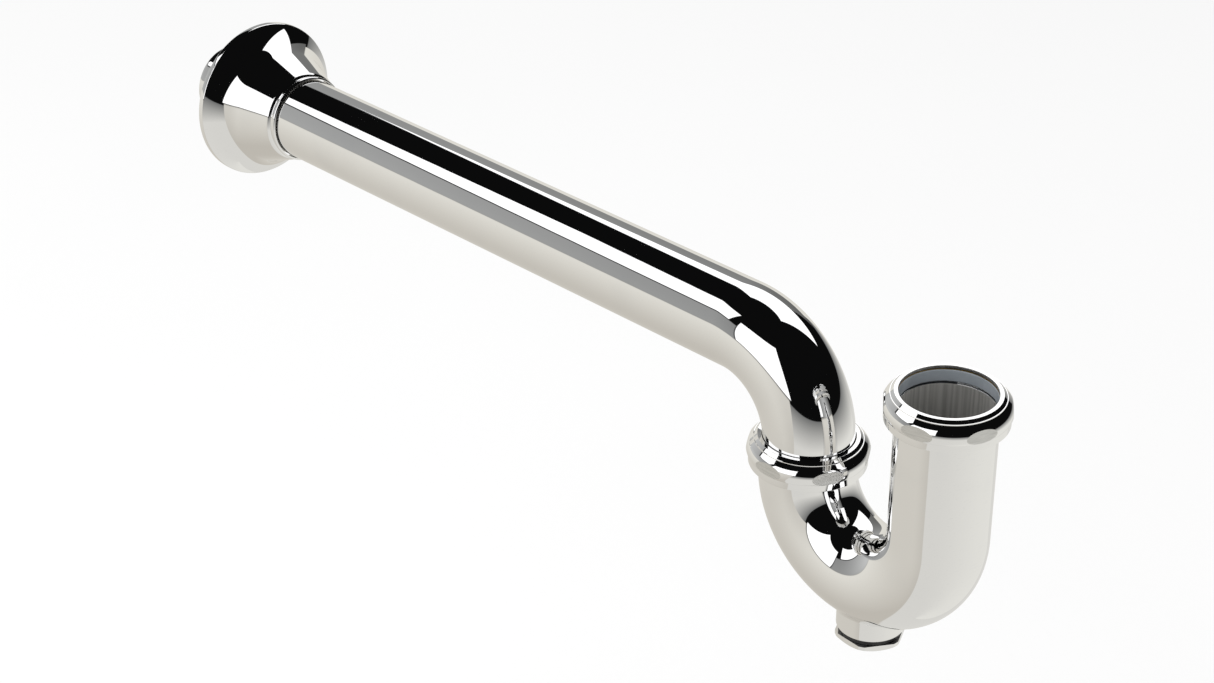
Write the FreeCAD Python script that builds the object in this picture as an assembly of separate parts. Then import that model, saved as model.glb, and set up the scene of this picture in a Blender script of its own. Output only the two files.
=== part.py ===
"""Chromed tubular P trap: wall bend with escutcheon, J bend with cleanout, two slip joints.

Frame, in millimetres: the origin is the centre of the wall bend's end face at the wall, +X runs
from the wall towards the trap, +Z is up.  The whole run lies in the XZ plane.
"""
import FreeCAD, Part

import math
import os

from FreeCAD import Placement, Rotation, Vector

# ---------------------------------------------------------------- driving dimensions (mm)
# wall bend
tube_od = 31.75              # 1-1/4 in tubular drain
tube_wall = 0.9
arm_length = 293.85          # straight run, wall end to the start of the bend
arm_fall_deg = 1.55          # the arm falls towards the wall by this much
bend_radius = 31.28          # centreline radius of the wall bend
spigot_length = 10.9         # straight stretch below the bend that enters the J bend

# J bend
slip_gap = 0.125             # all round, between the spigot and the J bend's bore
j_wall = 0.92
leg_spacing = 58.46          # outlet leg axis to inlet leg axis
spring_drop = 10.26          # foot of the wall bend down to where the U starts
inlet_rise = 42.72           # outlet nut's top up to the inlet nut's top

# slip nuts, measured down from the nut's top
outlet_nut_above_bend = 1.98     # outlet nut's top above the foot of the wall bend
nut_height = 10.5
nut_lip_ring = 1.675         # lip's outside beyond the tube's
nut_lip_wall = 1.0
nut_bead_ring = 2.5          # bead's outside beyond the ferrule's thread
nut_bead_drop = 5.4          # widest circle of the bead below the top
nut_bead_round = 4.2
nut_skirt_ring = 1.7         # skirt's outside beyond the ferrule's thread
nut_skirt_edge = 0.3
nut_flat_ring = 1.75         # the six flats beyond the ferrule's thread
nut_bore_gap = 0.225         # all round, lip bore over the tube
outlet_nut_clock_deg = -28.3
inlet_nut_clock_deg = -18.3

# slip joint: friction ring, washer and threaded ferrule
friction_ring_gap = 0.1      # under the nut's lip
friction_ring_thick = 0.4
washer_gap = 0.05            # all round, washer over the tube
washer_height = 4.7
washer_rim_height = 1.7
washer_rim_ring = 2.725      # rim's outside beyond the tube's
washer_cone_top_ring = 1.725
washer_cone_foot_ring = 1.025
seat_gap = 0.1               # washer cone to ferrule cone
leg_top_drop = 6.5           # nut's top down to the end of the J bend's tube
ferrule_foot_drop = 10.3
ferrule_wall = 1.83          # thread's crest beyond the J bend's outside
thread_depth = 0.7
thread_pitch = 2.2087        # 11.5 threads per inch
thread_gap = 0.1             # thread crest to the nut's plain bore

# cleanout
boss_shift = 2.71            # boss's axis beyond the middle of the U, towards the inlet
boss_wall = 3.33             # beyond the plug's thread
boss_drop = 3.09             # U's underside down to the boss's face
plug_thread_r = 8.5
plug_thread_depth = 0.6
plug_pitch = 1.411           # 18 threads per inch
plug_thread_gap = 0.1
plug_shank = 4.4
gasket_thick = 1.5
gasket_ring = 2.4            # gasket's outside beyond the plug's thread
gasket_gap = 0.15            # all round, gasket over the shank
plug_shoulder = 0.8
plug_shoulder_ring = 1.9     # beyond the plug's thread, as are the next three
plug_hex_ring = 2.6
plug_corner_ring = 3.75
plug_foot_ring = 1.4
plug_hex_height = 2.8
plug_chamfer = 1.4           # height of the underside chamfer at the corners
plug_clock_deg = -32.0

# escutcheon, measured along the arm from the wall end
rim_face = 21.85
rim_band = 2.0
rim_flare = 14.7             # rim's outside beyond the neck's
rim_edge = 0.6               # round between the band and the cone
bell_wall = 0.4
bell_gap = 0.575             # all round, neck over the tube
bell_rim_deg = 54.6          # slope to the arm where the bell's curve leaves the rim's edge
bell_neck_deg = 20.0         # slope of the cone that the curve runs into
bead_centre = 47.58
bead_height = 1.33           # above the neck
bead_round = 2.1
lip_foot = 50.5
lip_width = 1.7
lip_height = 0.45            # above the neck

# ---------------------------------------------------------------- derived places
tube_r = tube_od / 2
j_bore_r = tube_r + slip_gap
j_r = j_bore_r + j_wall
u_radius = leg_spacing / 2
fall = math.radians(arm_fall_deg)
arm_dir = Vector(math.cos(fall), 0, math.sin(fall))
bend_centre = arm_dir * arm_length + Vector(math.sin(fall), 0, -math.cos(fall)) * bend_radius
leg_x = bend_centre.x + bend_radius
bend_foot_z = bend_centre.z
outlet_top_z = bend_foot_z + outlet_nut_above_bend
inlet_top_z = outlet_top_z + inlet_rise
inlet_x = leg_x + leg_spacing
spring_z = bend_foot_z - spring_drop
boss_x = leg_x + u_radius + boss_shift
boss_foot_z = spring_z - u_radius - j_r - boss_drop
boss_hole_height = j_r + boss_drop
boss_r = plug_thread_r + boss_wall
gasket_r = plug_thread_r + gasket_ring
plug_shoulder_r = plug_thread_r + plug_shoulder_ring
plug_hex_r = plug_thread_r + plug_hex_ring
plug_corner_r = plug_thread_r + plug_corner_ring
plug_foot_r = plug_thread_r + plug_foot_ring
friction_ring_top_drop = nut_lip_wall + friction_ring_gap
washer_top_drop = friction_ring_top_drop + friction_ring_thick
ferrule_top_drop = washer_top_drop + washer_rim_height
washer_rim_r = tube_r + washer_rim_ring
washer_cone_top_r = tube_r + washer_cone_top_ring
washer_cone_foot_r = tube_r + washer_cone_foot_ring
thread_r = j_r + ferrule_wall
nut_cavity_r = thread_r + thread_gap
nut_bore_r = tube_r + nut_bore_gap
nut_lip_r = tube_r + nut_lip_ring
nut_bead_r = thread_r + nut_bead_ring
nut_skirt_r = thread_r + nut_skirt_ring
nut_flat_r = thread_r + nut_flat_ring
neck_bore_r = tube_r + bell_gap
neck_r = neck_bore_r + bell_wall
rim_r = neck_r + rim_flare
bead_r = neck_r + bead_height
lip_r = neck_r + lip_height
UP = Vector(0, 0, 1)
ALONG_Y = Vector(0, 1, 0)
HEX_SIDES = 6
THREAD_FORM = ((0.1, False), (0.4, True), (0.6, True), (0.9, False))    # share of the pitch, crest


# ---------------------------------------------------------------- helpers
def turned(steps):
    """Solid of revolution about Z.

    steps is the closed outline as (r, z) points; a step of two points is an arc through the
    first to the second.
    """
    edges = []
    here = steps[0]
    for step in list(steps[1:]) + [steps[0]]:
        start = Vector(here[0], 0, here[1])
        if isinstance(step[0], tuple):
            mid, end = step
            arc = Part.Arc(start, Vector(mid[0], 0, mid[1]), Vector(end[0], 0, end[1]))
            edges.append(arc.toShape())
            here = end
        else:
            end = Vector(step[0], 0, step[1])
            if start.distanceToPoint(end) > 1e-7:
                edges.append(Part.LineSegment(start, end).toShape())
            here = step
    face = Part.Face(Part.Wire(edges))
    return face.revolve(Vector(0, 0, 0), UP, 360)


def arc_step(centre, radius, start_deg, end_deg):
    """Arc step for turned(), about centre, from one angle to another in the (r, z) plane."""
    def on(angle_deg):
        angle = math.radians(angle_deg)
        return (centre[0] + radius * math.cos(angle), centre[1] + radius * math.sin(angle))
    return (on((start_deg + end_deg) / 2), on(end_deg))


def thread_steps(root_r, crest_r, z_from, z_to, pitch):
    """Ridges of a thread's profile between two heights, as (r, z) points from z_from to z_to."""
    sign = 1 if z_to > z_from else -1
    turns = int(abs(z_to - z_from) / pitch)
    margin = (abs(z_to - z_from) - turns * pitch) / 2
    points = [(root_r, z_from)]
    for turn in range(turns):
        foot = margin + turn * pitch
        for share, on_crest in THREAD_FORM:
            radius = crest_r if on_crest else root_r
            points.append((radius, z_from + sign * (foot + share * pitch)))
    points.append((root_r, z_to))
    return points


def disc(radius, centre, normal):
    """Flat round face."""
    return Part.Face(Part.Wire(Part.makeCircle(radius, centre, normal)))


def joined(pieces):
    """One solid from pieces that meet face to face."""
    whole = pieces[0].multiFuse(pieces[1:]).removeSplitter()
    return whole.Solids[0]


def hex_flats(solid, half_across, clock_deg, reach, z_low, z_high):
    """Cuts six upright flats at half_across from the Z axis; clock_deg turns the first one.

    reach is the blank's own outer radius or more.
    """
    corner = Vector(half_across, -reach, z_low)
    for side in range(HEX_SIDES):
        slab = Part.makeBox(reach, 2 * reach, z_high - z_low, corner)
        slab.rotate(Vector(0, 0, 0), UP, clock_deg + 360 * side / HEX_SIDES)
        solid = solid.cut(slab)
    return solid.Solids[0]


def at(shape, x, z):
    """Moves a shape made about the Z axis to an upright axis at x, with its zero at z."""
    moved = shape.copy()
    moved.translate(Vector(x, 0, z))
    return moved


def on_arm(shape):
    """Lays a shape made about the Z axis along the arm, +Z becoming the way to the trap."""
    laid = shape.copy()
    laid.Placement = Placement(Vector(0, 0, 0), Rotation(UP, arm_dir))
    return laid


# ---------------------------------------------------------------- wall bend and escutcheon
def wall_bend_core(radius):
    """Solid rod along the wall bend's centreline: arm, bend past square by the fall, spigot."""
    foot = Vector(leg_x, 0, bend_foot_z)
    arm = disc(radius, Vector(0, 0, 0), arm_dir).extrude(arm_dir * arm_length)
    bend = disc(radius, foot, UP).revolve(bend_centre, ALONG_Y, -(90 + arm_fall_deg))
    spigot = disc(radius, foot, UP).extrude(UP * -spigot_length)
    return joined([arm, bend, spigot])


def wall_bend_tube():
    """Thin tube: straight arm, bend and a short spigot down into the J bend."""
    return wall_bend_core(tube_r).cut(wall_bend_core(tube_r - tube_wall)).Solids[0]


def escutcheon():
    """Spun bell: rim band, hollow curve, cone, rounded bead at the neck and a curled lip."""
    rim_slope = math.radians(bell_rim_deg)
    neck_slope = math.radians(bell_neck_deg)
    edge_centre = (rim_r - rim_edge, rim_face + rim_band)
    curve_r = edge_centre[0] + rim_edge * math.cos(rim_slope)
    curve_at = edge_centre[1] + rim_edge * math.sin(rim_slope)
    bead_middle = (bead_r - bead_round, bead_centre)
    cone_r = bead_middle[0] + bead_round * math.cos(neck_slope)
    cone_at = bead_centre + bead_round * math.sin(neck_slope)
    # the curve's radius that makes it run smoothly into the cone
    fall_left = curve_r - cone_r - (cone_at - curve_at) * math.tan(neck_slope)
    rise_share = math.cos(neck_slope) - math.cos(rim_slope)
    run_share = math.sin(rim_slope) - math.sin(neck_slope)
    bell_curve = fall_left / (rise_share - run_share * math.tan(neck_slope))
    curve_centre = (curve_r + bell_curve * math.cos(rim_slope),
                    curve_at + bell_curve * math.sin(rim_slope))
    inner_curve = bell_curve + bell_wall
    inner_rim_r = curve_centre[0] - inner_curve * math.cos(rim_slope)
    inner_rim_at = curve_centre[1] - inner_curve * math.sin(rim_slope)
    inner_band_r = rim_r - bell_wall
    inner_band_at = inner_rim_at - (inner_band_r - inner_rim_r) / math.tan(rim_slope)
    inner_bead = bead_round - bell_wall
    neck_deg = math.degrees(math.acos((neck_r - bead_middle[0]) / bead_round))
    bore_deg = math.degrees(math.acos((neck_bore_r - bead_middle[0]) / inner_bead))
    lip_round = lip_width / 2
    lip_middle = (lip_r - lip_round, lip_foot + lip_round)
    lip_half = math.acos((neck_r - lip_middle[0]) / lip_round)
    steps = [
        (rim_r, rim_face),
        (rim_r, edge_centre[1]),
        arc_step(edge_centre, rim_edge, 0, bell_rim_deg),
        arc_step(curve_centre, bell_curve, 180 + bell_rim_deg, 180 + bell_neck_deg),
        (cone_r, cone_at),
        arc_step(bead_middle, bead_round, bell_neck_deg, neck_deg),
        (neck_r, lip_middle[1] - lip_round * math.sin(lip_half)),
        arc_step(lip_middle, lip_round, -math.degrees(lip_half), 90),
        (neck_bore_r, lip_foot + lip_width),
        (neck_bore_r, bead_centre + inner_bead * math.sin(math.radians(bore_deg))),
        arc_step(bead_middle, inner_bead, bore_deg, bell_neck_deg),
        (curve_centre[0] - inner_curve * math.cos(neck_slope),
         curve_centre[1] - inner_curve * math.sin(neck_slope)),
        arc_step(curve_centre, inner_curve, 180 + bell_neck_deg, 180 + bell_rim_deg),
        (inner_band_r, inner_band_at),
        (inner_band_r, rim_face),
    ]
    return on_arm(turned(steps))


# ---------------------------------------------------------------- slip joint, zero at nut top
def slip_nut(clock_deg):
    """Slip nut: thin lip, round bead with six wrench flats, plain skirt."""
    centre = (nut_bead_r - nut_bead_round, -nut_bead_drop)
    skirt_deg = math.degrees(math.acos((nut_skirt_r - centre[0]) / nut_bead_round))
    skirt_z = centre[1] - nut_bead_round * math.sin(math.radians(skirt_deg))
    diagonal = nut_bead_round * math.sqrt(0.5)
    cone_foot = (centre[0] + diagonal, centre[1] + diagonal)
    edge_centre = (nut_skirt_r - nut_skirt_edge, nut_skirt_edge - nut_height)
    steps = [
        (nut_bore_r, 0),
        (nut_bore_r, -nut_lip_wall),
        (nut_cavity_r, -nut_lip_wall),
        (nut_cavity_r, -nut_height),
        (edge_centre[0], -nut_height),
        arc_step(edge_centre, nut_skirt_edge, -90, 0),
        (nut_skirt_r, skirt_z),
        arc_step(centre, nut_bead_round, -skirt_deg, 45),
        (nut_lip_r, cone_foot[1] + (cone_foot[0] - nut_lip_r)),
        (nut_lip_r, 0),
    ]
    blank = turned(steps)
    return hex_flats(blank, nut_flat_r, clock_deg, nut_bead_r, -nut_height, 0)


def friction_ring():
    """Thin flat ring between the nut's lip and the washer."""
    return turned([
        (nut_bore_r, -friction_ring_top_drop),
        (washer_rim_r, -friction_ring_top_drop),
        (washer_rim_r, -washer_top_drop),
        (nut_bore_r, -washer_top_drop),
    ])


def slip_washer():
    """Rubber washer: flat rim above, cone that wedges into the ferrule below."""
    inner_r = tube_r + washer_gap
    foot = -washer_top_drop - washer_height
    steps = [
        (inner_r, -washer_top_drop),
        (washer_rim_r, -washer_top_drop),
        (washer_rim_r, -ferrule_top_drop),
        (washer_cone_top_r, -ferrule_top_drop),
        (washer_cone_foot_r, foot),
        (inner_r, foot),
    ]
    return turned(steps)


def ferrule():
    """Threaded collar on the end of the J bend, with the washer's cone seat in its mouth."""
    seat_top_r = washer_cone_top_r + seat_gap
    seat_foot_r = washer_cone_foot_r + seat_gap
    steps = [
        (seat_top_r, -ferrule_top_drop),
        (seat_foot_r, -leg_top_drop),
        (j_r, -leg_top_drop),
        (j_r, -ferrule_foot_drop),
    ]
    steps += thread_steps(thread_r - thread_depth, thread_r, -ferrule_foot_drop,
                          -ferrule_top_drop, thread_pitch)
    return turned(steps)


# ---------------------------------------------------------------- J bend and cleanout
def j_bend_core(radius):
    """Solid rod along the J bend's centreline: outlet leg, half-circle U, inlet leg."""
    outlet_end = Vector(leg_x, 0, spring_z)
    inlet_end = Vector(inlet_x, 0, spring_z)
    u_centre = Vector(leg_x + u_radius, 0, spring_z)
    outlet_height = outlet_top_z - leg_top_drop - spring_z
    inlet_height = inlet_top_z - leg_top_drop - spring_z
    outlet_leg = disc(radius, outlet_end, UP).extrude(UP * outlet_height)
    inlet_leg = disc(radius, inlet_end, UP).extrude(UP * inlet_height)
    u_turn = disc(radius, outlet_end, UP).revolve(u_centre, ALONG_Y, -180)
    return joined([outlet_leg, u_turn, inlet_leg])


def j_bend():
    """Thin tube: two upright legs joined by a half-circle U, with the cleanout hole below."""
    bend = j_bend_core(j_r).cut(j_bend_core(j_bore_r))
    hole = Part.makeCylinder(plug_thread_r + plug_thread_gap, boss_hole_height,
                             Vector(boss_x, 0, boss_foot_z))
    return bend.cut(hole).Solids[0]


def cleanout_boss():
    """Threaded boss saddled to the underside of the U."""
    foot = Vector(boss_x, 0, boss_foot_z)
    blank = Part.makeCylinder(boss_r, boss_hole_height, foot)
    bore = Part.makeCylinder(plug_thread_r + plug_thread_gap, boss_hole_height, foot)
    saddled = blank.cut(bore).cut(j_bend_core(j_r))
    return min(saddled.Solids, key=lambda solid: solid.BoundBox.ZMin)


def cleanout_gasket():
    """Flat rubber gasket under the boss, zero at the boss's face."""
    inner_r = plug_thread_r + gasket_gap
    foot = -gasket_thick
    return turned([(inner_r, 0), (gasket_r, 0), (gasket_r, foot), (inner_r, foot)])


def cleanout_plug():
    """Hexagon plug with a turned shoulder and a threaded shank, zero at the boss's face."""
    head_top = -gasket_thick - plug_shoulder
    head_foot = head_top - plug_hex_height
    corner_foot = head_top - plug_chamfer
    steps = [
        (0, plug_shank),
        (0, head_foot),
        (plug_foot_r, head_foot),
        (plug_corner_r, corner_foot),
        (plug_corner_r, head_top),
        (plug_shoulder_r, head_top),
        (plug_shoulder_r, -gasket_thick),
    ]
    steps += thread_steps(plug_thread_r - plug_thread_depth, plug_thread_r, -gasket_thick,
                          plug_shank, plug_pitch)
    blank = turned(steps)
    return hex_flats(blank, plug_hex_r, plug_clock_deg, plug_corner_r, head_foot, head_top)


# ---------------------------------------------------------------- the assembly
def build():
    """Every node by name, in the part's own frame."""
    outlet = (leg_x, outlet_top_z)
    inlet = (inlet_x, inlet_top_z)
    cleanout = (boss_x, boss_foot_z)
    return {
        "wall_bend_tube": wall_bend_tube(),
        "escutcheon": escutcheon(),
        "outlet_slip_nut": at(slip_nut(outlet_nut_clock_deg), *outlet),
        "outlet_friction_ring": at(friction_ring(), *outlet),
        "outlet_slip_washer": at(slip_washer(), *outlet),
        "outlet_ferrule": at(ferrule(), *outlet),
        "inlet_slip_nut": at(slip_nut(inlet_nut_clock_deg), *inlet),
        "inlet_friction_ring": at(friction_ring(), *inlet),
        "inlet_slip_washer": at(slip_washer(), *inlet),
        "inlet_ferrule": at(ferrule(), *inlet),
        "j_bend": j_bend(),
        "cleanout_boss": cleanout_boss(),
        "cleanout_gasket": at(cleanout_gasket(), *cleanout),
        "cleanout_plug": at(cleanout_plug(), *cleanout),
    }


os.makedirs("parts", exist_ok=True)
for node, shape in build().items():
    box = shape.BoundBox
    print(f"{node:22s} {shape.ShapeType} valid={shape.isValid()} V={shape.Volume:9.1f} "
          f"x {box.XMin:7.2f} {box.XMax:7.2f} y {box.YMin:7.2f} {box.YMax:7.2f} "
          f"z {box.ZMin:7.2f} {box.ZMax:7.2f}")
    shape.exportStep(f"parts/{node}.step")
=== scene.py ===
"""Chromed tubular P trap: wall bend, bell escutcheon, two slip joints, J bend and cleanout."""
import logging
import math
from dataclasses import dataclass
from enum import Enum

import bmesh
import bpy
import numpy as np
from mathutils import Matrix, Vector


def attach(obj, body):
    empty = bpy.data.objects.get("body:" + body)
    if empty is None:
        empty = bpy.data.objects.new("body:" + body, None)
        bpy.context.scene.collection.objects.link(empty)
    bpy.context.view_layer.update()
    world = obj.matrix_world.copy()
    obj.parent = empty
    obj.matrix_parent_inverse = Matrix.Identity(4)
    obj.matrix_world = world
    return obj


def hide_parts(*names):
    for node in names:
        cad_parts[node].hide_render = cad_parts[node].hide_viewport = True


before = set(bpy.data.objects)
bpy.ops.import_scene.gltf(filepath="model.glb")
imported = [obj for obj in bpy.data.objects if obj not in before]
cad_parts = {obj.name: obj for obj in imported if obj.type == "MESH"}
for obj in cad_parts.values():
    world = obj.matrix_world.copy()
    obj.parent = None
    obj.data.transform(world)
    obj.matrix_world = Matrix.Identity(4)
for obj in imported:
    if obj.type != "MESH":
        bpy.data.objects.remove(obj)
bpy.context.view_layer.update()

LOG = logging.getLogger("p_trap")
MM = 0.001
BLACK_CARD = (0.0037, 0.0037, 0.0038)


# ---------------------------------------------------------------- node trees
@dataclass
class Tree:
    """A node tree that nodes are added to with their values and links in one call."""
    tree: bpy.types.NodeTree

    def add(self, kind: str, values: dict | None = None, **settings) -> bpy.types.Node:
        """Adds one node.

        Args:
            kind: the node's type name.
            values: input sockets by name or place, each with a value or an output socket.
            settings: the node's own properties.

        Returns:
            The new node.
        """
        node = self.tree.nodes.new(kind)
        for key, value in settings.items():
            setattr(node, key, value)
        for key, value in (values or {}).items():
            self.feed(node.inputs[key], value)
        return node

    def feed(self, socket: bpy.types.NodeSocket, value: object) -> None:
        """Links an output socket to an input, or sets the input's own value."""
        if isinstance(value, bpy.types.NodeSocket):
            self.tree.links.new(value, socket)
        else:
            socket.default_value = value

    def maths(self, operation: str, *values: object) -> bpy.types.NodeSocket:
        """Adds a Math node and returns its result."""
        return self.add("ShaderNodeMath", dict(enumerate(values)), operation=operation).outputs[0]

    def step(self, value: object, low: object, high: object) -> bpy.types.NodeSocket:
        """Adds a smooth step from 0 at low to 1 at high and returns its result."""
        node = self.add("ShaderNodeMapRange", {0: value, 1: low, 2: high, 3: 0.0, 4: 1.0},
                        interpolation_type="SMOOTHSTEP")
        return node.outputs[0]

    def span(self, value: object, low: float, high: float, first: float,
             last: float) -> bpy.types.NodeSocket:
        """Adds a straight run from first at low to last at high and returns its result."""
        return self.add("ShaderNodeMapRange", {0: value, 1: low, 2: high, 3: first,
                                               4: last}).outputs[0]

    def mix(self, share: object, first: object, second: object) -> bpy.types.NodeSocket:
        """Adds a colour mix and returns its result."""
        first = first if isinstance(first, bpy.types.NodeSocket) else (*first, 1.0)
        second = second if isinstance(second, bpy.types.NodeSocket) else (*second, 1.0)
        node = self.add("ShaderNodeMix", {0: share, 6: first, 7: second}, data_type="RGBA")
        return node.outputs[2]

    def noise(self, vector: object, scale: float, detail: float = 2.0) -> bpy.types.NodeSocket:
        """Adds a noise texture and returns its value."""
        node = self.add("ShaderNodeTexNoise", {"Vector": vector, "Scale": scale, "Detail": detail})
        return node.outputs[0]

    def stretched(self, vector: object, scale: tuple) -> bpy.types.NodeSocket:
        """Adds a Mapping node that scales a pattern and returns its vector."""
        return self.add("ShaderNodeMapping", {"Vector": vector, "Scale": scale}).outputs[0]

    def bump(self, height: object, strength: float, distance: float) -> bpy.types.NodeSocket:
        """Adds a Bump node and returns its normal."""
        node = self.add("ShaderNodeBump", {"Height": height, "Strength": strength,
                                           "Distance": distance})
        return node.outputs[0]


def new_group(name: str, inputs: dict, outputs: dict) -> tuple:
    """Starts a shader node group.

    Args:
        name: the group's name.
        inputs: socket names with their type and starting value.
        outputs: socket names with their type.

    Returns:
        The group's tree, its input node and its output node.
    """
    group = bpy.data.node_groups.new(name, "ShaderNodeTree")
    for label, (kind, start) in inputs.items():
        socket = group.interface.new_socket(label, in_out="INPUT", socket_type=kind)
        if start is not None:
            socket.default_value = start
    for label, kind in outputs.items():
        group.interface.new_socket(label, in_out="OUTPUT", socket_type=kind)
    tree = Tree(group)
    return tree, tree.add("NodeGroupInput").outputs, tree.add("NodeGroupOutput")


NUMBER = "NodeSocketFloat"
ARROW = "NodeSocketVector"


def make_card_group() -> bpy.types.NodeTree:
    """Effect of a soft-edged card in the studio, given in degrees of azimuth and elevation.

    Returns:
        A group whose Mask is 1 inside the card; its top edge rises by Slope with the azimuth.
    """
    tree, given, out = new_group(
        "studio_card",
        {"Azimuth": (NUMBER, 0.0), "Elevation": (NUMBER, 0.0), "Centre": (NUMBER, 0.0),
         "Half Width": (NUMBER, 10.0), "Low": (NUMBER, 0.0), "High": (NUMBER, 10.0),
         "Slope": (NUMBER, 0.0), "Softness": (NUMBER, 0.5)},
        {"Mask": NUMBER})
    soft = given["Softness"]
    across = tree.maths("WRAP", tree.maths("SUBTRACT", given["Azimuth"], given["Centre"]),
                        180.0, -180.0)
    inside = tree.maths("SUBTRACT", given["Half Width"], tree.maths("ABSOLUTE", across))
    above = tree.maths("SUBTRACT", given["Elevation"], given["Low"])
    top = tree.maths("MULTIPLY_ADD", across, given["Slope"], given["High"])
    below = tree.maths("SUBTRACT", top, given["Elevation"])
    back = tree.maths("MULTIPLY", soft, -1.0)
    mask = tree.step(inside, back, soft)
    for edge in (above, below):
        mask = tree.maths("MULTIPLY", mask, tree.step(edge, back, soft))
    tree.feed(out.inputs["Mask"], mask)
    return tree.tree


def make_polish_group() -> bpy.types.NodeTree:
    """Effect of a polished plate: faint wipe marks, clouds of haze and a slow waviness.

    Returns:
        A group that puts out Haze, Roughness and Height.
    """
    tree, given, out = new_group(
        "polish",
        {"Vector": (ARROW, None), "Smooth": (NUMBER, 0.03), "Hazed": (NUMBER, 0.1),
         "Wave Scale": (NUMBER, 60.0)},
        {"Haze": NUMBER, "Roughness": NUMBER, "Height": NUMBER})
    vector = given["Vector"]
    cloud = tree.step(tree.noise(vector, 34.0, 4.0), 0.52, 0.78)
    wipes = tree.step(tree.noise(tree.stretched(vector, (1500.0, 240.0, 2100.0)), 1.0, 3.0),
                      0.56, 0.75)
    haze = tree.maths("MULTIPLY_ADD", wipes, 0.35, tree.maths("MULTIPLY", cloud, 0.5))
    spread = tree.maths("SUBTRACT", given["Hazed"], given["Smooth"])
    tree.feed(out.inputs["Haze"], haze)
    tree.feed(out.inputs["Roughness"],
              tree.maths("MULTIPLY_ADD", haze, spread, given["Smooth"]))
    wave = tree.add("ShaderNodeTexNoise", {"Vector": vector, "Scale": given["Wave Scale"],
                                           "Detail": 1.0}).outputs[0]
    tree.feed(out.inputs["Height"], wave)
    return tree.tree


def make_lines_group() -> bpy.types.NodeTree:
    """Effect of drawn or turned lines: a noise pulled out along one way of the given vector.

    Returns:
        A group that puts out Lines and Patches.
    """
    tree, given, out = new_group(
        "drawn_lines",
        {"Vector": (ARROW, None), "Fineness": (NUMBER, 1.0)},
        {"Lines": NUMBER, "Patches": NUMBER})
    vector = given["Vector"]
    fine = tree.add("ShaderNodeTexNoise", {"Vector": vector, "Scale": given["Fineness"],
                                           "Detail": 4.0}).outputs[0]
    tree.feed(out.inputs["Lines"], tree.step(fine, 0.3, 0.7))
    tree.feed(out.inputs["Patches"], tree.step(tree.noise(vector, 0.2, 3.0), 0.35, 0.7))
    return tree.tree


# ---------------------------------------------------------------- finishes
class Effects:
    """The node groups that several finishes share, each made once."""

    def __init__(self) -> None:
        """Makes the three groups."""
        self.card = make_card_group()
        self.polish = make_polish_group()
        self.lines = make_lines_group()


def start_material(name: str) -> tuple:
    """Starts a material with one Principled shader.

    Args:
        name: the material's name.

    Returns:
        The material, its Tree, the shader node and the Object coordinates.
    """
    material = bpy.data.materials.new(name)
    material.use_nodes = True
    material.node_tree.nodes.clear()
    tree = Tree(material.node_tree)
    shader = tree.add("ShaderNodeBsdfPrincipled")
    tree.add("ShaderNodeOutputMaterial", {"Surface": shader.outputs[0]})
    place = tree.add("ShaderNodeTexCoord")
    return material, tree, shader, place


@dataclass(frozen=True)
class ChromePlate:
    """Bright chrome plate over polished brass."""
    name: str = "chrome_plate"
    bright: tuple = (0.9, 0.9, 0.9)
    hazed: tuple = (0.78, 0.785, 0.8)
    smooth_roughness: float = 0.018
    hazed_roughness: float = 0.09
    wave: float = 0.06

    def make(self, effects: Effects) -> bpy.types.Material:
        """Returns the finished material."""
        material, tree, shader, place = start_material(self.name)
        polish = tree.add("ShaderNodeGroup", node_tree=effects.polish)
        tree.feed(polish.inputs["Vector"], place.outputs["Object"])
        tree.feed(polish.inputs["Smooth"], self.smooth_roughness)
        tree.feed(polish.inputs["Hazed"], self.hazed_roughness)
        share = tree.maths("MULTIPLY", polish.outputs["Haze"], 0.6)
        tree.feed(shader.inputs["Base Color"], tree.mix(share, self.bright, self.hazed))
        tree.feed(shader.inputs["Roughness"], polish.outputs["Roughness"])
        tree.feed(shader.inputs["Normal"], tree.bump(polish.outputs["Height"], self.wave, 0.0004))
        shader.inputs["Metallic"].default_value = 1.0
        return material


@dataclass(frozen=True)
class MilledFlat:
    """Plated wrench flat with fine milling lines across it, softer than the polished plate."""
    name: str = "milled_flat"
    bright: tuple = (0.74, 0.74, 0.73)
    dull: tuple = (0.62, 0.62, 0.61)

    def make(self, effects: Effects) -> bpy.types.Material:
        """Returns the finished material."""
        material, tree, shader, place = start_material(self.name)
        lines = tree.add("ShaderNodeGroup", node_tree=effects.lines)
        pulled = tree.stretched(place.outputs["Object"], (220.0, 220.0, 5200.0))
        tree.feed(lines.inputs["Vector"], pulled)
        share = lines.outputs["Lines"]
        tree.feed(shader.inputs["Base Color"], tree.mix(share, self.dull, self.bright))
        tree.feed(shader.inputs["Roughness"], tree.span(share, 0.0, 1.0, 0.4, 0.32))
        tree.feed(shader.inputs["Normal"], tree.bump(share, 0.2, 0.00002))
        shader.inputs["Metallic"].default_value = 1.0
        return material


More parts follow.
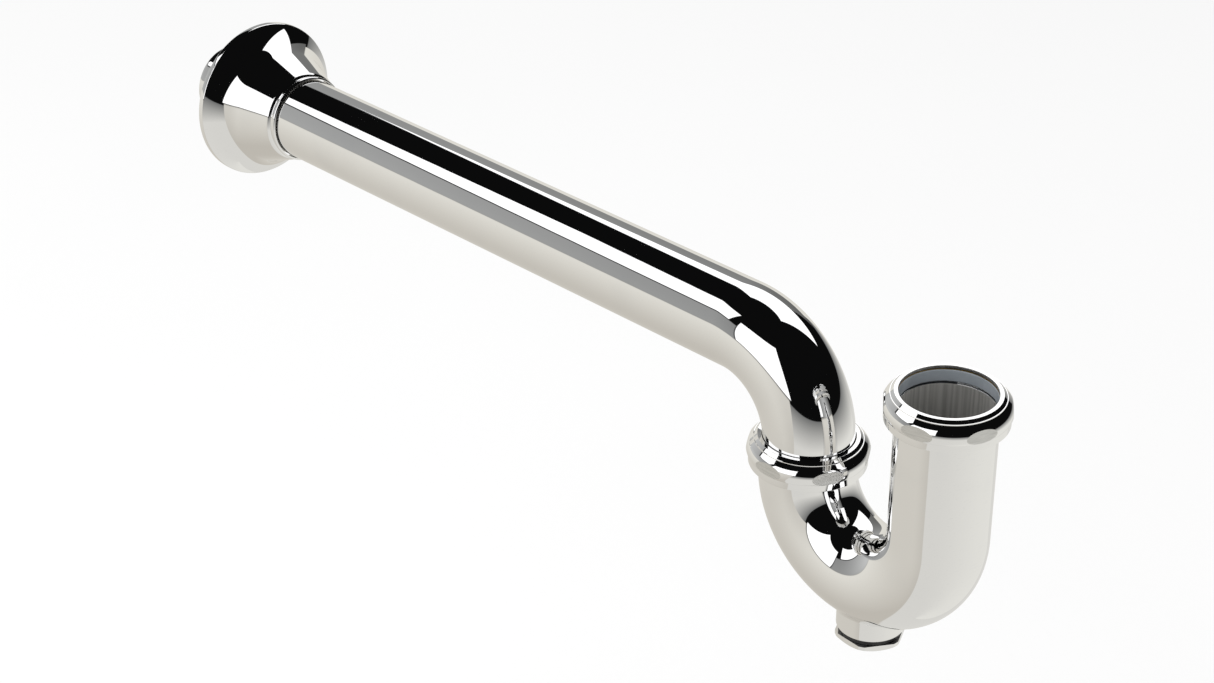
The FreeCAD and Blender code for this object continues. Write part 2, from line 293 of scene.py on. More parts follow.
@dataclass(frozen=True)
class DrawnBore:
    """Dull bore of a drawn tube, with lines along it; reads the piece's own UV map."""
    name: str = "drawn_bore"
    light: tuple = (0.74, 0.73, 0.7)
    dark: tuple = (0.36, 0.355, 0.34)
    line_pull: tuple = (14.0, 700.0, 1.0)

    def make(self, effects: Effects) -> bpy.types.Material:
        """Returns the finished material."""
        material, tree, shader, place = start_material(self.name)
        lines = tree.add("ShaderNodeGroup", node_tree=effects.lines)
        tree.feed(lines.inputs["Vector"], tree.stretched(place.outputs["UV"], self.line_pull))
        patch = tree.maths("MULTIPLY_ADD", lines.outputs["Patches"], 0.5,
                           tree.maths("MULTIPLY", lines.outputs["Lines"], 0.5))
        tree.feed(shader.inputs["Base Color"], tree.mix(patch, self.dark, self.light))
        tree.feed(shader.inputs["Roughness"], tree.span(patch, 0.0, 1.0, 0.42, 0.26))
        tree.feed(shader.inputs["Normal"], tree.bump(lines.outputs["Lines"], 0.35, 0.00006))
        shader.inputs["Metallic"].default_value = 0.5
        return material


@dataclass(frozen=True)
class TurnedBrass:
    """Bare brass with fine turning rings across the piece's height."""
    name: str = "turned_brass"
    light: tuple = (0.83, 0.62, 0.3)
    dark: tuple = (0.55, 0.37, 0.15)

    def make(self, effects: Effects) -> bpy.types.Material:
        """Returns the finished material."""
        material, tree, shader, place = start_material(self.name)
        lines = tree.add("ShaderNodeGroup", node_tree=effects.lines)
        pulled = tree.stretched(place.outputs["Object"], (60.0, 60.0, 9000.0))
        tree.feed(lines.inputs["Vector"], pulled)
        tarnish = tree.step(tree.noise(place.outputs["Object"], 120.0, 4.0), 0.4, 0.75)
        share = tree.maths("MULTIPLY_ADD", tarnish, 0.7,
                           tree.maths("MULTIPLY", lines.outputs["Lines"], 0.25))
        tree.feed(shader.inputs["Base Color"], tree.mix(share, self.light, self.dark))
        tree.feed(shader.inputs["Roughness"], tree.span(tarnish, 0.0, 1.0, 0.2, 0.42))
        tree.feed(shader.inputs["Normal"], tree.bump(lines.outputs["Lines"], 0.3, 0.00003))
        shader.inputs["Metallic"].default_value = 1.0
        return material


@dataclass(frozen=True)
class MouldedRubber:
    """Moulded rubber with a fine grain, a little bloom and no gloss."""
    name: str
    plain: tuple
    bloomed: tuple
    roughness: float

    def make(self, effects: Effects) -> bpy.types.Material:
        """Returns the finished material."""
        material, tree, shader, place = start_material(self.name)
        vector = place.outputs["Object"]
        bloom = tree.step(tree.noise(vector, 160.0, 5.0), 0.42, 0.72)
        grain = tree.noise(vector, 2600.0, 3.0)
        share = tree.maths("MULTIPLY_ADD", grain, 0.3, tree.maths("MULTIPLY", bloom, 0.6))
        tree.feed(shader.inputs["Base Color"], tree.mix(share, self.plain, self.bloomed))
        tree.feed(shader.inputs["Roughness"],
                  tree.span(bloom, 0.0, 1.0, self.roughness, self.roughness + 0.12))
        tree.feed(shader.inputs["Normal"], tree.bump(grain, 0.3, 0.00008))
        shader.inputs["Specular IOR Level"].default_value = 0.4
        return material


class Finishes:
    """Every finish of the object, made once."""

    def __init__(self, effects: Effects) -> None:
        """Makes the materials."""
        self.chrome = ChromePlate().make(effects)
        self.flat = MilledFlat().make(effects)
        self.bore = DrawnBore().make(effects)
        self.brass = TurnedBrass().make(effects)
        self.washer = MouldedRubber("washer_rubber", (0.27, 0.3, 0.33), (0.37, 0.4, 0.43),
                                    0.5).make(effects)
        self.gasket = MouldedRubber("gasket_rubber", (0.012, 0.012, 0.013),
                                    (0.04, 0.04, 0.042), 0.45).make(effects)


def dress(node: str, material: bpy.types.Material) -> None:
    """Gives a CAD node that keeps its shape a finish in all its material slots."""
    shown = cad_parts[node]
    for slot in shown.material_slots:
        slot.material = material
    LOG.info("%s keeps its CAD shape in %s", node, material.name)


# ---------------------------------------------------------------- surfaces
@dataclass(frozen=True)
class Run:
    """One stretch of a centreline in the XZ plane: straight, or an arc turning by its sign."""
    length: float
    radius: float = 0.0


@dataclass(frozen=True)
class Path:
    """A centreline in the XZ plane, as a start, a heading and runs that follow smoothly."""
    start: tuple
    heading: tuple
    runs: tuple

    @property
    def length(self) -> float:
        """Whole length of the centreline."""
        return sum(run.length for run in self.runs)

    def places(self, stations: np.ndarray) -> tuple:
        """Points and headings along the path.

        On a straight run, point = start + a * heading.  On an arc of radius R, turning towards
        the side normal n, point = start + R sin(a/R) heading + R (1 - cos(a/R)) n, and the
        heading turns with it.

        Args:
            stations: distances along the path.

        Returns:
            Points (n, 2) and headings (n, 2), both as x and z.
        """
        point = np.array(self.start, float)
        way = np.array(self.heading, float)
        points = np.zeros((len(stations), 2))
        ways = np.zeros((len(stations), 2))
        passed = 0.0
        for place, run in enumerate(self.runs):
            last = place == len(self.runs) - 1
            here = (stations >= passed) | (place == 0)
            here &= (stations < passed + run.length) | last
            along = stations - passed
            side = np.array((-way[1], way[0])) * (1.0 if run.radius > 0 else -1.0)
            if run.radius:
                size = abs(run.radius)
                turn = np.append(along, run.length)[:, None] / size
                spots = point + size * (np.sin(turn) * way + (1 - np.cos(turn)) * side)
                turned = np.cos(turn) * way + np.sin(turn) * side
            else:
                reach = np.append(along, run.length)[:, None]
                spots = point + reach * way
                turned = np.repeat(way[None], len(spots), axis=0)
            points[here] = spots[:-1][here]
            ways[here] = turned[:-1][here]
            point, way, passed = spots[-1], turned[-1], passed + run.length
        return points, ways


def arc(centre: tuple, radius: float, start_deg: float, end_deg: float,
        count: int = 12) -> np.ndarray:
    """Points of an arc in an outline's plane, centre + radius (cos a, sin a).

    Args:
        centre: station and radius of the arc's centre.
        radius: the arc's own radius.
        start_deg: first angle, from the station axis towards larger radii.
        end_deg: last angle.
        count: number of points.

    Returns:
        Points (count, 2) as station and radius.
    """
    angles = np.radians(np.linspace(start_deg, end_deg, count))
    return np.array(centre) + radius * np.stack((np.cos(angles), np.sin(angles)), 1)


def swept_shell(name: str, path: Path, outline: np.ndarray, segments: int,
                grow: object = None) -> bpy.types.Object:
    """Closed shell of an outline turned about a path.

    point(i, j) = centre(s_i) + r_i (cos t_j N + sin t_j Y), where outline row i gives the
    station s_i and the radius r_i, N is square to the path in the XZ plane, and Y is the
    frame's own.  The rows run outside first, along the path, and come back inside.

    Args:
        name: the piece's name.
        path: the centreline.
        outline: closed outline as rows of station and radius, in millimetres.
        segments: number of columns round the path.
        grow: optional function of the stations, radii and angles that returns new radii.

    Returns:
        The piece, with a UV map in metres of station and arc length.
    """
    stations, radii = outline[:, 0], outline[:, 1]
    points, ways = path.places(stations)
    turn = 2 * np.pi * np.arange(segments) / segments
    reach = np.repeat(radii[:, None], segments, axis=1)
    if grow is not None:
        reach = grow(stations[:, None], reach, turn[None, :])
    out = reach * np.cos(turn)
    grid = np.empty((len(outline), segments, 3))
    grid[..., 0] = points[:, 0, None] + out * ways[:, 1, None]
    grid[..., 1] = reach * np.sin(turn)
    grid[..., 2] = points[:, 1, None] - out * ways[:, 0, None]
    rows, columns = np.meshgrid(np.arange(len(outline)), np.arange(segments), indexing="ij")
    below = (rows + 1) % len(outline)
    beside = (columns + 1) % segments
    faces = np.stack((rows * segments + columns, rows * segments + beside,
                      below * segments + beside, below * segments + columns), -1)
    mesh = bpy.data.meshes.new(name)
    mesh.from_pydata(grid.reshape(-1, 3) * MM, [], faces.reshape(-1, 4))
    girth = 2 * np.pi * float(np.max(radii)) / segments
    across = np.stack((columns, columns + 1, columns + 1, columns), -1) * girth
    along = stations[np.stack((rows, rows, below, below), -1)]
    layer = mesh.uv_layers.new(name="surface")
    layer.data.foreach_set("uv", (np.stack((along, across), -1) * MM).ravel())
    mesh.polygons.foreach_set("use_smooth", np.ones(len(mesh.polygons), bool))
    piece = bpy.data.objects.new(name, mesh)
    bpy.context.scene.collection.objects.link(piece)
    return piece


def tube_outline(path: Path, outer: float, inner: float, edge: float,
                 spacing: float) -> tuple:
    """Outline of a thin tube with rounded ends.

    Args:
        path: the tube's centreline.
        outer: outside radius.
        inner: bore radius.
        edge: radius of the rounds on both ends.
        spacing: largest distance between rows.

    Returns:
        The outline, and how many of its rows are outside or on the ends.
    """
    count = int(math.ceil(path.length / spacing))
    wall = np.linspace(edge, path.length - edge, count)
    end = path.length - edge
    outside = np.stack((wall, np.full(count, outer)), 1)
    inside = np.stack((wall[::-1], np.full(count, inner)), 1)
    outline = np.concatenate((
        arc((edge, outer - edge), edge, 180, 90, 6)[:-1], outside,
        arc((end, outer - edge), edge, 90, 0, 6)[1:],
        arc((end, inner + edge), edge, 0, -90, 6)[:-1], inside,
        arc((edge, inner + edge), edge, -90, -180, 6)[1:]))
    return outline, count + 15


def finish_piece(piece: bpy.types.Object, materials: tuple, body: str,
                 nodes: tuple, inner_from: int = 0, segments: int = 0,
                 crease_deg: float = 40.0) -> None:
    """Dresses a new piece, hangs it on its body and hides the CAD nodes it stands for.

    Args:
        piece: the piece.
        materials: outside material, and the bore's where it has one.
        body: the CAD body it rides on.
        nodes: CAD nodes it replaces.
        inner_from: first row of faces in the second material.
        segments: number of faces in a row.
        crease_deg: edges sharper than this are shaded as edges.
    """
    for material in materials:
        piece.data.materials.append(material)
    if inner_from:
        index = np.zeros(len(piece.data.polygons), np.int32)
        index[inner_from * segments:] = 1
        piece.data.polygons.foreach_set("material_index", index)
    piece.data.set_sharp_from_angle(angle=math.radians(crease_deg))
    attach(piece, body)
    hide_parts(*nodes)
    LOG.info("%s: %d faces on %s", piece.name, len(piece.data.polygons), body)


# ---------------------------------------------------------------- sub-assemblies
@dataclass
class WallBend:
    """Long arm, the bend at its end and a short spigot into the J bend, in millimetres."""
    outer: float = 15.875
    wall: float = 0.9
    arm_length: float = 293.85
    fall_deg: float = 1.55
    bend_radius: float = 31.28
    spigot_length: float = 10.9
    edge: float = 0.16
    segments: int = 144

    @property
    def path(self) -> Path:
        """Centreline from the wall end."""
        fall = math.radians(self.fall_deg)
        turn = math.radians(90 + self.fall_deg) * self.bend_radius
        return Path((0.0, 0.0), (math.cos(fall), math.sin(fall)),
                    (Run(self.arm_length), Run(turn, -self.bend_radius),
                     Run(self.spigot_length)))

    def build(self, finishes: Finishes) -> None:
        """Makes the tube."""
        outline, inner_from = tube_outline(self.path, self.outer, self.outer - self.wall,
                                           self.edge, 1.1)
        piece = swept_shell("wall_bend_tube_plated", self.path, outline, self.segments)
        finish_piece(piece, (finishes.chrome, finishes.bore), "wall_bend",
                     ("wall_bend_tube",), inner_from, self.segments)


@dataclass
class Escutcheon:
    """Spun bell on the arm: rim band, hollow curve, cone, neck bead, curled lip; millimetres."""
    neck_bore: float = 16.45
    wall: float = 0.4
    rim_face: float = 21.85
    rim_band: float = 2.0
    rim_r: float = 31.55
    rim_edge: float = 0.6
    rim_deg: float = 54.6
    neck_deg: float = 20.0
    bead_centre: float = 47.58
    bead_r: float = 18.18
    bead_round: float = 2.1
    lip_foot: float = 50.5
    lip_width: float = 1.7
    lip_r: float = 17.3
    fall_deg: float = 1.55
    segments: int = 192

    def outline(self) -> tuple:
        """Closed outline, outside first, and how many of its rows are outside.

        The curve's radius is the one that lets it run smoothly from the rim's edge into the
        cone, and the cone into the bead.
        """
        rim, slope = math.radians(self.rim_deg), math.radians(self.neck_deg)
        neck = self.neck_bore + self.wall
        edge_at, edge_r = self.rim_face + self.rim_band, self.rim_r - self.rim_edge
        curve_at = edge_at + self.rim_edge * math.sin(rim)
        curve_r = edge_r + self.rim_edge * math.cos(rim)
        bead_mid = self.bead_r - self.bead_round
        cone_at = self.bead_centre + self.bead_round * math.sin(slope)
        cone_r = bead_mid + self.bead_round * math.cos(slope)
        left = curve_r - cone_r - (cone_at - curve_at) * math.tan(slope)
        run_share = (math.sin(rim) - math.sin(slope)) * math.tan(slope)
        curve = left / (math.cos(slope) - math.cos(rim) - run_share)
        middle = (curve_at + curve * math.sin(rim), curve_r + curve * math.cos(rim))
        inner = curve + self.wall
        band_r = self.rim_r - self.wall
        inner_bead = self.bead_round - self.wall
        neck_turn = math.degrees(math.asin((neck - bead_mid) / self.bead_round))
        bore_turn = math.degrees(math.asin((self.neck_bore - bead_mid) / inner_bead))
        lip_round = self.lip_width / 2
        lip_mid = (self.lip_foot + lip_round, self.lip_r - lip_round)
        lip_turn = 90 + math.degrees(math.acos((neck - lip_mid[1]) / lip_round))
        face_round = self.wall / 2
        outside = np.concatenate((
            arc((self.rim_face + face_round, self.rim_r - face_round), face_round, 180, 90, 6),
            arc((edge_at, edge_r), self.rim_edge, 90, 90 - self.rim_deg, 10),
            arc(middle, curve, 270 - self.rim_deg, 270 - self.neck_deg, 56)[1:],
            arc((self.bead_centre, bead_mid), self.bead_round, 90 - self.neck_deg, neck_turn, 22),
            arc(lip_mid, lip_round, lip_turn, 0, 20)))
        inside = np.concatenate((
            arc((self.lip_foot + self.lip_width - 0.15, self.neck_bore + 0.15), 0.15, 0, -90, 4),
            arc((self.bead_centre, bead_mid), inner_bead, bore_turn, 90 - self.neck_deg, 12),
            arc(middle, inner, 270 - self.neck_deg, 270 - self.rim_deg, 40),
            arc((self.rim_face + face_round, band_r + face_round), face_round, -90, -180, 6)))
        return np.concatenate((outside, inside)), len(outside)

    def build(self, finishes: Finishes) -> None:
        """Makes the bell."""
        fall = math.radians(self.fall_deg)
        axis = Path((0.0, 0.0), (math.cos(fall), math.sin(fall)), (Run(60.0),))
        outline, inner_from = self.outline()
        piece = swept_shell("escutcheon_spun_bell", axis, outline, self.segments)
        finish_piece(piece, (finishes.chrome, finishes.bore), "escutcheon_bell",
                     ("escutcheon",), inner_from, self.segments, 28.0)


class Side(Enum):
    """The two slip joints, by their names in the frame."""
    OUTLET = "outlet"
    INLET = "inlet"


@dataclass
class SlipJoint:
    """Slip nut, friction ring, washer and ferrule of one side; drops from the nut's top, mm."""
    side: Side
    x: float
    top_z: float
    clock_deg: float
    nut_body: str
    washer_body: str
    tube_r: float = 15.875
    bore_r: float = 16.1
    lip_r: float = 17.55
    lip_wall: float = 1.0
    height: float = 10.5
    bead_r: float = 21.25
    bead_drop: float = 5.4
    bead_round: float = 4.2
    skirt_r: float = 20.45
    flat_r: float = 20.5
    cavity_r: float = 18.85
    thread_r: float = 18.75
    thread_depth: float = 0.7
    pitch: float = 2.2087
    washer_top: float = 1.5
    washer_rim_r: float = 18.6
    cone_top: float = 3.2
    cone_top_r: float = 17.65
    cone_foot_r: float = 16.9
    washer_foot: float = 6.2
    ferrule_mouth_r: float = 17.7
    ferrule_foot: float = 10.3
    ferrule_bore_r: float = 16.92
    seat_drop: float = 6.5
    edge: float = 0.12
    segments: int = 180

    @property
    def axis(self) -> Path:
        """Upright axis, running down from the nut's top."""
        return Path((self.x, self.top_z), (0.0, -1.0), (Run(20.0),))

    def nut_outline(self) -> np.ndarray:
        """Closed outline of the nut: lip, cone, bead, skirt, threaded cavity and bore."""
        edge = self.edge
        middle = (self.bead_drop, self.bead_r - self.bead_round)
        skirt = 90 - math.degrees(math.acos((self.skirt_r - middle[1]) / self.bead_round))
        slant = (middle[0] - self.bead_round * math.sqrt(0.5),
                 middle[1] + self.bead_round * math.sqrt(0.5))
        cavity = np.arange(self.height - 0.3, self.lip_wall + 0.2, -0.12)
        return np.concatenate((
            arc((edge, self.bore_r + edge), edge, -90, -180, 5),
            [[0.0, self.bore_r + edge + 0.02], [0.0, self.lip_r - 0.414 * edge - 0.02]],
            arc((edge, self.lip_r - 0.414 * edge), edge, 180, 135, 5),
            [[0.06, self.lip_r + 0.06], [slant[0] - 0.03, slant[1] - 0.03]],
            arc(middle, self.bead_round, 135, skirt, 44),
            arc((self.height - 0.3, self.skirt_r - 0.3), 0.3, 90, 0, 7),
            arc((self.height - 0.15, self.cavity_r + 0.15), 0.15, 0, -90, 5)[:-1],
            np.stack((cavity, np.full(len(cavity), self.cavity_r)), 1),
            [[self.lip_wall, self.cavity_r], [self.lip_wall, self.bore_r + edge]],
            arc((self.lip_wall - edge, self.bore_r + edge), edge, 0, -90, 5)))

    def helix(self, low: float, high: float, radius: float, rise: float) -> object:
        """Thread as a change of radius on one wall of a turned piece.

        The new radius is r + rise * ridge(s / pitch - t / 2 pi), where ridge is a flat-topped
        tooth and fades out over half a turn at both ends.

        Args:
            low: drop where the thread starts.
            high: drop where it ends.
            radius: the wall that carries the thread.
            rise: height of the tooth; negative for one that stands inwards.

        Returns:
            A function of the stations, radii and angles that returns new radii.
        """
        def grow(stations: np.ndarray, radii: np.ndarray, turn: np.ndarray) -> np.ndarray:
            """Returns the radii with the thread on."""
            phase = np.mod(stations / self.pitch - turn / (2 * np.pi), 1.0)
            ridge = np.clip((0.4 - np.abs(phase - 0.5)) / 0.3, 0, 1)
            fade = np.clip(np.minimum(stations - low, high - stations) * 2 / self.pitch, 0, 1)
            return np.where(np.abs(radii - radius) < 1e-6, radii + rise * ridge * fade, radii)
        return grow

    def cut_flats(self, piece: bpy.types.Object) -> None:
        """Cuts six upright flats on the bead and fills each with one face of the second finish.

        Each flat lies on the plane x cos a + y sin a = flat radius about the nut's axis, with
        a a sixth of a turn apart, and its edges are marked sharp.
        """
        mesh = bmesh.new()
        mesh.from_mesh(piece.data)
        for side in range(6):
            angle = math.radians(self.clock_deg + 60 * side)
            way = (math.cos(angle), math.sin(angle), 0.0)
            spot = (self.x * MM + way[0] * self.flat_r * MM, way[1] * self.flat_r * MM, 0.0)
            cut = bmesh.ops.bisect_plane(
                mesh, geom=mesh.verts[:] + mesh.edges[:] + mesh.faces[:], dist=1e-8,
                plane_co=spot, plane_no=way, clear_outer=True)
            edges = [item for item in cut["geom_cut"] if isinstance(item, bmesh.types.BMEdge)]
            filled = bmesh.ops.edgeloop_fill(mesh, edges=edges, mat_nr=1, use_smooth=False)
            for face in filled["faces"]:
                face.normal_update()
                if face.normal.dot(way) < 0:
                    face.normal_flip()
            for one in edges:
                one.smooth = False
        mesh.to_mesh(piece.data)
        mesh.free()

    def build_nut(self, finishes: Finishes) -> None:
        """Makes the slip nut."""
        grow = self.helix(self.lip_wall + 0.4, self.height - 0.2, self.cavity_r, 0.5)
        piece = swept_shell(f"{self.side.value}_slip_nut_plated", self.axis,
                            self.nut_outline(), self.segments, grow)
        finish_piece(piece, (finishes.chrome, finishes.flat), self.nut_body,
                     (f"{self.side.value}_slip_nut",), crease_deg=30.0)
        self.cut_flats(piece)

    def build_washer(self, finishes: Finishes) -> None:
        """Makes the rubber washer: rounded rim above, wedge below, bevelled mouth."""
        bore = self.tube_r + 0.05
        outline = np.concatenate((
            arc((self.washer_top + 0.35, bore + 0.35), 0.35, -90, -180, 6),
            arc((self.washer_top + 0.3, self.washer_rim_r - 0.3), 0.3, 180, 90, 6),
            [[self.cone_top - 0.05, self.washer_rim_r],
             [self.cone_top, self.washer_rim_r - 0.05], [self.cone_top, self.cone_top_r]],
            arc((self.washer_foot - 0.25, self.cone_foot_r - 0.25), 0.25, 80, 0, 6),
            [[self.washer_foot, bore + 0.62], [self.washer_foot - 0.65, bore]]))
        piece = swept_shell(f"{self.side.value}_slip_washer_moulded", self.axis, outline, 120)
        finish_piece(piece, (finishes.washer,), self.washer_body,
                     (f"{self.side.value}_slip_washer",))

    def build_ferrule(self, finishes: Finishes) -> None:
        """Makes the threaded collar with the washer's seat in its mouth."""
        root = self.thread_r - self.thread_depth
        top, foot, bore = self.cone_top, self.ferrule_foot, self.ferrule_bore_r
        wall = np.arange(3.35, 10.2, 0.11)
        outline = np.concatenate((
            arc((top + 0.1, self.ferrule_mouth_r + 0.1), 0.1, -90, -180, 4),
            [[top, root - 0.1]], np.stack((wall, np.full(len(wall), root)), 1),
            [[foot, root - 0.1], [foot, bore + 0.03], [foot - 0.05, bore],
             [self.seat_drop, bore], [self.seat_drop, bore + 0.08]]))
        grow = self.helix(3.3, 10.25, root, self.thread_depth)
        piece = swept_shell(f"{self.side.value}_ferrule_threaded", self.axis, outline,
                            self.segments, grow)
        finish_piece(piece, (finishes.chrome,), "trap",
                     (f"{self.side.value}_ferrule",))

    def build(self, finishes: Finishes) -> None:
        """Makes the joint's pieces; the friction ring keeps its CAD shape."""
        self.build_nut(finishes)
        self.build_washer(finishes)
        self.build_ferrule(finishes)
        dress(f"{self.side.value}_friction_ring", finishes.brass)


@dataclass
class JBend:
    """Short outlet leg, half-circle U and long inlet leg, in millimetres."""
    outer: float = 16.92
    bore: float = 16.0
    leg_x: float = 325.8686
    spring_z: float = -33.5801
    outlet_end_z: float = -27.8401
    inlet_end_z: float = 14.8799
    leg_spacing: float = 58.46
    edge: float = 0.2
    hole_x: float = 357.8086
    hole_r: float = 8.6
    hole_low: float = -84.0
    hole_high: float = -62.8101
    segments: int = 144

    @property
    def path(self) -> Path:
        """Centreline from the top of the outlet leg to the top of the inlet leg."""
        radius = self.leg_spacing / 2
        return Path((self.leg_x, self.outlet_end_z), (0.0, -1.0),
                    (Run(self.outlet_end_z - self.spring_z), Run(math.pi * radius, radius),
                     Run(self.inlet_end_z - self.spring_z)))

    def build(self, finishes: Finishes) -> None:
        """Makes the tube."""
        outline, inner_from = tube_outline(self.path, self.outer, self.bore, self.edge, 0.8)
        piece = swept_shell("j_bend_plated", self.path, outline, self.segments)
        finish_piece(piece, (finishes.chrome, finishes.bore), "trap",
                     ("j_bend",), inner_from, self.segments)
        self.cut_hole(piece)

    def cut_hole(self, piece: bpy.types.Object) -> None:
        """Cuts the cleanout's round hole through the underside of the U, where the plug sits."""
        middle = Vector((self.hole_x, 0.0, (self.hole_low + self.hole_high) / 2)) * MM
        form = bmesh.new()
        bmesh.ops.create_cone(form, cap_ends=True, segments=96, radius1=self.hole_r * MM,
                              radius2=self.hole_r * MM, matrix=Matrix.Translation(middle),
                              depth=(self.hole_high - self.hole_low) * MM)
        mesh = bpy.data.meshes.new("hole_cutter")
        form.to_mesh(mesh)
        form.free()
        cutter = bpy.data.objects.new("hole_cutter", mesh)
        bpy.context.scene.collection.objects.link(cutter)
        modifier = piece.modifiers.new("hole", "BOOLEAN")
        modifier.operation, modifier.solver, modifier.object = "DIFFERENCE", "EXACT", cutter
        graph = bpy.context.evaluated_depsgraph_get()
        piece.data = bpy.data.meshes.new_from_object(
            piece.evaluated_get(graph), preserve_all_data_layers=True, depsgraph=graph)
        piece.modifiers.clear()
        bpy.data.objects.remove(cutter)
        piece.data.set_sharp_from_angle(angle=math.radians(40.0))


@dataclass
class Cleanout:
    """Boss, solder seam, gasket with a painted-shade skirt, and plug under the U, in millimetres.
    """
    x: float = 357.8086
    face_z: float = -82.8201
    boss_r: float = 11.83
    u_x: float = 355.0986
    u_z: float = -33.5801
    u_radius: float = 29.23
    j_r: float = 16.92
    seam: float = 0.85
    # The outer radius reaches over the plug's shoulder so the gasket's skirt covers it: painted
    # shade.
    gasket_r: float = 10.9
    segments: int = 160

    def on_bend(self, across: np.ndarray, depth: np.ndarray) -> np.ndarray:
        """Height of the U's underside above x = across, y = depth.

        The U is a ring of tube, so z = u_z - sqrt((R + sqrt(r^2 - y^2))^2 - (x - u_x)^2).
        """
        reach = self.u_radius + np.sqrt(self.j_r ** 2 - depth ** 2)
        return self.u_z - np.sqrt(reach ** 2 - (across - self.u_x) ** 2)

    def build_seam(self, finishes: Finishes) -> None:
        """Makes the hollow fillet of solder where the boss meets the bend.

        Column j stands at angle t_j round the boss.  Its section runs from the bend, a seam's
        width out, along a hollow quarter curve to the boss's side, and back inside the joint.
        """
        turn = 2 * np.pi * np.arange(self.segments) / self.segments
        width = self.seam * (1 + 0.1 * np.sin(3 * turn + 0.6) + 0.06 * np.sin(7 * turn))
        share = np.radians(np.linspace(0, 90, 9))[:, None]
        out = width * (1 - np.sin(share))
        down = width * (1 - np.cos(share))
        radii = np.vstack((self.boss_r + out, np.full((1, len(turn)), self.boss_r - 0.4)))
        across = self.x + radii * np.cos(turn)
        depth = radii * np.sin(turn)
        height = self.on_bend(across, depth)
        height[:-1] -= down
        height[-1] += 0.3
        height[0] += 0.04
        grid = np.stack((across, depth, height), -1)
        rows, columns = np.meshgrid(np.arange(len(grid)), np.arange(self.segments),
                                    indexing="ij")
        below, beside = (rows + 1) % len(grid), (columns + 1) % self.segments
        faces = np.stack((rows * self.segments + columns, below * self.segments + columns,
                          below * self.segments + beside, rows * self.segments + beside), -1)
        mesh = bpy.data.meshes.new("cleanout_solder_seam")
        mesh.from_pydata(grid.reshape(-1, 3) * MM, [], faces.reshape(-1, 4))
        mesh.polygons.foreach_set("use_smooth", np.ones(len(mesh.polygons), bool))
        piece = bpy.data.objects.new("cleanout_solder_seam", mesh)
        bpy.context.scene.collection.objects.link(piece)
        finish_piece(piece, (finishes.chrome,), "trap", ())

    def build_gasket(self, finishes: Finishes) -> None:
        """Makes the gasket: a flat ring of black rubber, and a short black skirt round the plug's
        shoulder that is painted shade, a dark sheet laid where the shoulder lies in shade.
        """
        axis = Path((self.x, self.face_z), (0.0, -1.0), (Run(10.0),))
        # Painted shade: the rows that drop from 1.48 to 2.28 near the outer radius form a black
        # skirt over the plug's shoulder, standing in for the shade there; the flat ring is the
        # real gasket.
        outline = np.concatenate((
            [[0.02, 8.65]], arc((0.2, self.gasket_r - 0.18), 0.18, 180, 90, 5),
            arc((2.1, self.gasket_r - 0.18), 0.18, 90, 0, 5),
            [[2.28, 10.46], [1.48, 10.44], [1.48, 8.65]]))
        piece = swept_shell("cleanout_gasket_and_painted_shade_skirt", axis, outline, 120)
        finish_piece(piece, (finishes.gasket,), "gasket",
                     ("cleanout_gasket",))

    def build(self, finishes: Finishes) -> None:
        """Makes the seam and the gasket; the boss and the plug keep their CAD shapes."""
        self.build_seam(finishes)
        self.build_gasket(finishes)
        dress("cleanout_boss", finishes.chrome)
        dress("cleanout_plug", finishes.chrome)


# ---------------------------------------------------------------- studio
@dataclass(frozen=True)
class Card:
    """A card of the studio, in degrees, and how bright it is."""
    centre: float
    half_width: float
    low: float
    high: float
    slope: float
    light: float


